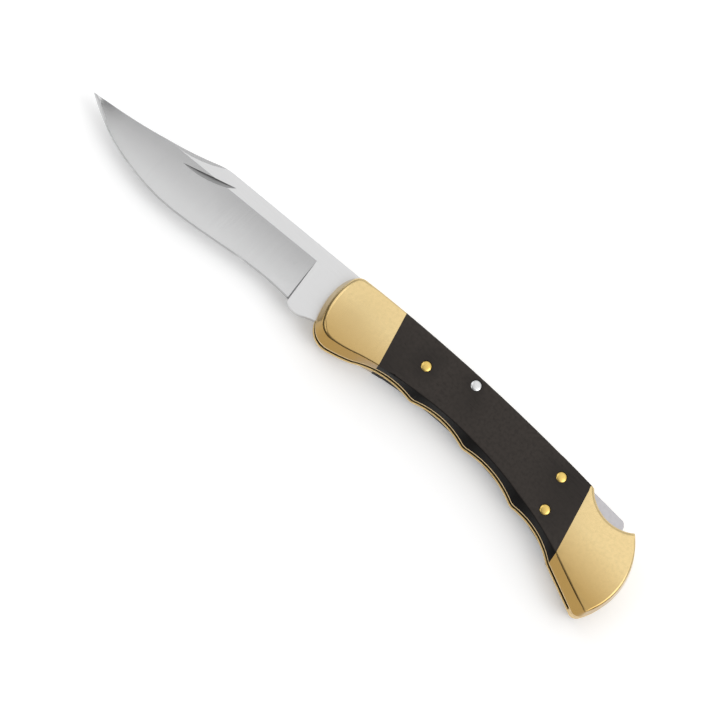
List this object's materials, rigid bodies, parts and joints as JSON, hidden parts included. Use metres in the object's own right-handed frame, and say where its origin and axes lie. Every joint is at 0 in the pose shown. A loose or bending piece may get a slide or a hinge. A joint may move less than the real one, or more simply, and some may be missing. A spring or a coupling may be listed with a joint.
{
  "type": "folding pocket knife",
  "caption": "Lock-back folding hunting knife, open, with a hollow-ground clip-point blade, brass bolsters, finger-grooved dark wood scales and a spine lock bar.",
  "frame": {"origin": "on the outer face of the lower front bolster, on the axis of the blade pivot", "axes": "+X from the open blade's tip to the butt, +Y from the belly to the spine, +Z from the lower side to the upper side, which carries the nail nick"},
  "size_m": [0.2182, 0.0314, 0.0155],
  "materials": {
    "blade_steel": "satin hollow grind, brighter flats",
    "bar_steel": "satin",
    "pin_steel": "polished flush",
    "spring_steel": "spring temper, plain",
    "bolster_brass": "polished",
    "liner_brass": "satin",
    "spacer_brass": "satin",
    "rivet_brass": "polished flush",
    "scale_wood": "dark wood, sealed and buffed"
  },
  "bodies": {
    "handle": {"lock_bar_pin": "pin_steel", "leaf_spring": "spring_steel", "blade_pivot_pin": "bolster_brass", "spacer_pin_spine": "bolster_brass", "spacer_pin_belly": "bolster_brass", "butt_spacer": "spacer_brass", "front_bolster_upper": "bolster_brass", "rear_bolster_upper": "bolster_brass", "scale_upper": "scale_wood", "liner_upper": "liner_brass", "front_rivet_upper": "rivet_brass", "rear_spine_rivet_upper": "rivet_brass", "rear_belly_rivet_upper": "rivet_brass", "front_bolster_lower": "bolster_brass", "rear_bolster_lower": "bolster_brass", "scale_lower": "scale_wood", "liner_lower": "liner_brass", "front_rivet_lower": "rivet_brass", "rear_spine_rivet_lower": "rivet_brass", "rear_belly_rivet_lower": "rivet_brass"},
    "blade": {"blade": "blade_steel"},
    "lock_bar": {"lock_bar": "bar_steel"}
  },
  "joints": [
    {"name": "blade_fold", "type": "hinge", "parent": "handle", "child": "blade", "pos_m": [0, 0, 0.00775], "axis": [0, 0, 1], "range_deg": [0, 176]},
    {"name": "lock_bar_press", "type": "hinge", "parent": "handle", "child": "lock_bar", "pos_m": [0.04111, 0.01292, 0.00775], "axis": [0, 0, -1], "range_deg": [0, 3.2], "stiffness_Nm_per_rad": 15, "springref_deg": -1.15, "deforming": ["leaf_spring"]}
  ]
}
